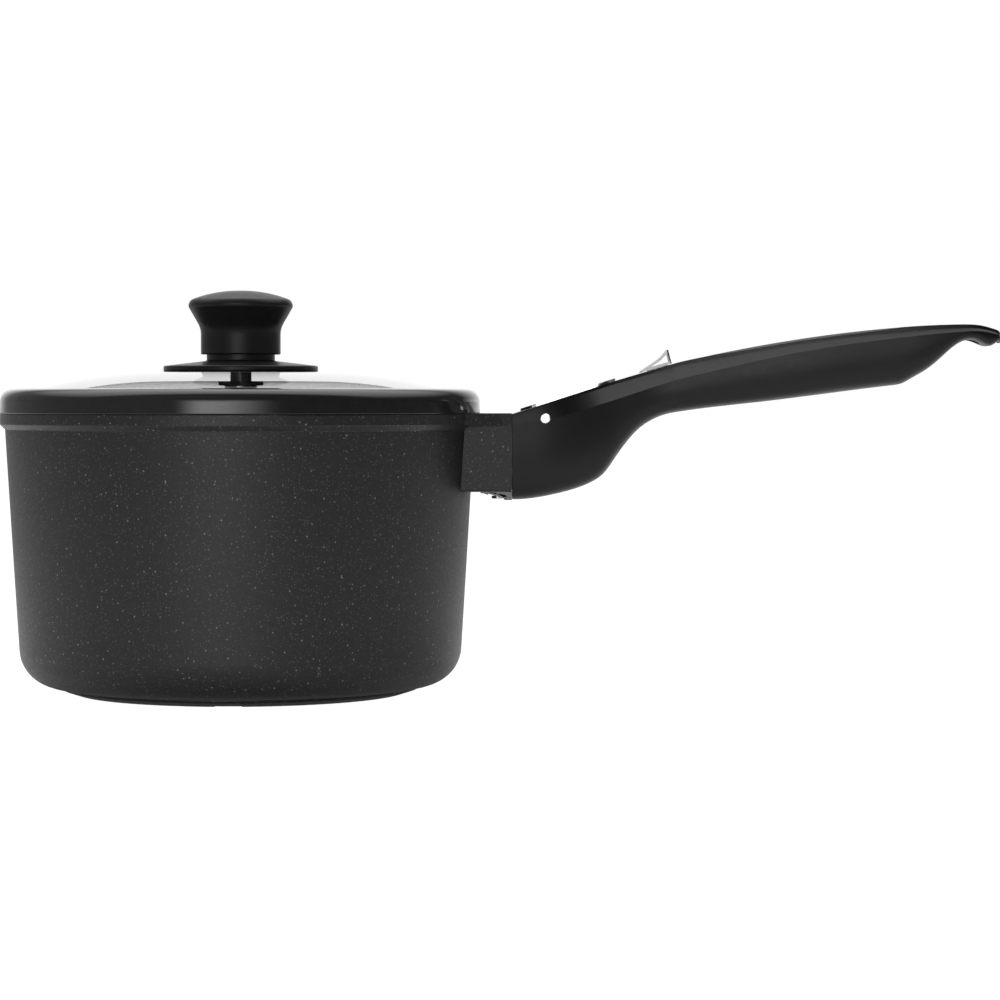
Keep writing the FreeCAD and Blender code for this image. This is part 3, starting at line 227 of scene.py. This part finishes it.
def clear_glass():
    """Clear tempered glass: see-through with a faint grey, and gloss that grows at a glancing view."""
    s = Shader("clear_glass")
    s.set(Base_Color=grey(1.0), Metallic=1.0)
    s.rough(s.ramp(s.noise(0.03, 2.0), [(0.3, 0.015), (0.7, 0.03)]))
    clear = s.add("ShaderNodeBsdfTransparent")
    tint = s.ramp(s.noise(0.04, 2.0), [(0.3, GLASS_TINT - 0.005), (0.7, GLASS_TINT + 0.005)])
    s.link(tint, clear.inputs["Color"])
    gloss = s.add("ShaderNodeFresnel")
    gloss.inputs["IOR"].default_value = GLASS_GLOSS_IOR
    outside = s.math("SUBTRACT", 1.0, s.add("ShaderNodeNewGeometry").outputs["Backfacing"])
    amount = s.math("ADD", s.math("MULTIPLY", gloss.outputs["Fac"], outside), 0.01)
    s.blend(amount, clear.outputs["BSDF"], s.bsdf.outputs["BSDF"])
    return s.material


MATERIALS = {
    "pan_coating": coating(),
    "base_steel": metal("turned_steel", 0.55, 0.32),
    "guard_steel": metal("satin_steel", 0.15, 0.28),
    "screw_steel": metal("plated_steel", 0.55, 0.25),
    "handle_plastic": black_plastic("handle_phenolic", 0.004, 0.36, 0.28),
    "core_steel": metal("pressed_steel", 0.45, 0.35),
    "pin_chrome": metal("polished_chrome", 0.85, 0.06),
    "trim_chrome": metal("trim_chrome", 0.85, 0.12, 0.002),
    "trim_satin": metal("trim_satin", 0.11, 0.35),
    "slider_satin": metal("satin_chrome", 0.24, 0.25, 0.002),
    "carriage_plastic": black_plastic("acetal", 0.12, 0.4),
    "spring_steel": metal("spring_wire", 0.4, 0.3),
    "lid_glass": clear_glass(),
    "ring_plastic": black_plastic("ring_gloss", 0.012, 0.10, 0.38, strength=0.02),
    "knob_plastic": black_plastic("knob_phenolic", 0.012, 0.36, 0.2),
    "seal_rubber": black_plastic("seal_rubber", 0.09, 0.6),
    "insert_brass": brass(),
}


def dress_nodes():
    """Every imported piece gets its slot's material."""
    slots = {part["node"]: part["material_slot"] for part in frame["record"]["subparts"]}
    for name, node in frame["nodes"].items():
        node.data.materials.clear()
        node.data.materials.append(MATERIALS[slots[name]])


# ================================================================ studio
def studio():
    """Bright surroundings, dark on the camera's side but for one soft light behind the camera."""
    world = bpy.data.worlds.new("studio")
    bpy.context.scene.world = world
    world.use_nodes = True
    tree = world.node_tree
    background = tree.nodes["Background"]
    background.inputs["Color"].default_value = grey(1.0)

    def node(kind, **values):
        made = tree.nodes.new(kind)
        for name, value in values.items():
            setattr(made, name, value)
        return made

    def spread(source, low, high, at_low, at_high):
        """Level that goes smoothly from at_low to at_high as the source goes from low to high."""
        ramp = node("ShaderNodeMapRange", interpolation_type="SMOOTHSTEP")
        names = ("From Min", "From Max", "To Min", "To Max")
        for name, value in zip(names, (low, high, at_low, at_high)):
            ramp.inputs[name].default_value = value
        tree.links.new(source, ramp.inputs["Value"])
        return ramp.outputs["Result"]

    def combine(operation, a, b):
        made = node("ShaderNodeMath", operation=operation)
        for socket, value in zip(made.inputs, (a, b)):
            if isinstance(value, (int, float)):
                socket.default_value = value
            else:
                tree.links.new(value, socket)
        return made.outputs["Value"]

    direction = node("ShaderNodeTexCoord").outputs["Generated"]
    split = node("ShaderNodeSeparateXYZ")
    tree.links.new(direction, split.inputs["Vector"])
    sides = spread(split.outputs["X"], *SIDE_SPAN, LEFT_LEVEL, RIGHT_LEVEL)
    behind = spread(split.outputs["Y"], *BACK_SPAN, 0.0, BACK_LEVEL)
    above = combine("MULTIPLY", spread(split.outputs["Z"], *TOP_SPAN, 0.0, TOP_LEVEL),
                    spread(split.outputs["Y"], *TOP_DEPTH, 0.0, 1.0))
    surroundings = combine("MAXIMUM", combine("MAXIMUM", sides, behind), above)
    lamp_width = combine("MULTIPLY", spread(split.outputs["X"], *LAMP_RISE, 0.0, 1.0),
                         spread(split.outputs["X"], *LAMP_FALL, 1.0, 0.0))
    lamp_front = spread(split.outputs["Y"], *LAMP_DEPTH, 1.0, 0.0)
    lamp_low = spread(split.outputs["Z"], *LAMP_BOTTOM, 0.0, 1.0)
    lamp_high = spread(split.outputs["Z"], *LAMP_TOP, 1.0, 0.0)
    lamp = combine("MULTIPLY", combine("MULTIPLY", lamp_width, lamp_front),
                   combine("MULTIPLY", lamp_low, lamp_high))
    lit = combine("ADD", surroundings, combine("MULTIPLY", lamp, LAMP_LEVEL))
    seen = node("ShaderNodeLightPath").outputs["Is Camera Ray"]
    clear = combine("SUBTRACT", 1.0, seen)
    level = combine("ADD", combine("MULTIPLY", lit, clear), seen)
    tree.links.new(level, background.inputs["Strength"])


def floor():
    """Pale floor, level with the foot, with a painted pool of light: white near the pan and painted
    shade further out.
    """
    half = FLOOR_HALF
    mesh = bpy.data.meshes.new("floor")
    corners = [(-half, -half, 0), (half, -half, 0), (half, half, 0), (-half, half, 0)]
    mesh.from_pydata(corners, [], [(0, 1, 2, 3)])
    plane = bpy.data.objects.new("floor", mesh)
    bpy.context.scene.collection.objects.link(plane)
    s = Shader("floor_white")
    s.set(Roughness=0.7)
    away = s.add("ShaderNodeVectorMath", operation="LENGTH")
    s.link(s.where(), away.inputs[0])
    # painted shade: the floor's colour goes from white near the pan to darker further out, in place of
    # light that falls off
    painted_light_pool = s.ramp(away.outputs["Value"], [(FLOOR_NEAR, 1.0), (FLOOR_FAR, FLOOR_PAINTED_SHADE_LEVEL)])
    white = s.ramp(s.noise(0.3, 2.0), [(0.3, FLOOR_WHITE[0]), (0.7, FLOOR_WHITE[1])])
    s.base(s.mix(painted_light_pool, grey(0.0), white))
    glow = s.add("ShaderNodeEmission")
    glow.inputs["Strength"].default_value = FLOOR_GLOW
    seen = s.add("ShaderNodeLightPath").outputs["Is Camera Ray"]
    share = s.math("ADD", s.math("MULTIPLY", seen, FLOOR_GLOW_SEEN), FLOOR_GLOW_SHARE)
    s.blend(share, s.bsdf.outputs["BSDF"], glow.outputs["Emission"])
    mesh.materials.append(s.material)


def camera():
    """Long lens, level with the handle, looking slightly down across the pan."""
    data = bpy.data.cameras.new("camera")
    data.sensor_width = SENSOR
    data.lens = LENS
    eye = Vector(EYE)
    cam = bpy.data.objects.new("camera", data)
    bpy.context.scene.collection.objects.link(cam)
    cam.location = eye
    cam.rotation_mode = "QUATERNION"
    cam.rotation_quaternion = (Vector(TARGET) - eye).to_track_quat("-Z", "Y")
    data.clip_start, data.clip_end = CLIP
    bpy.context.scene.camera = cam


dress_nodes()
studio()
floor()
camera()
bpy.context.scene.view_settings.view_transform = "Standard"
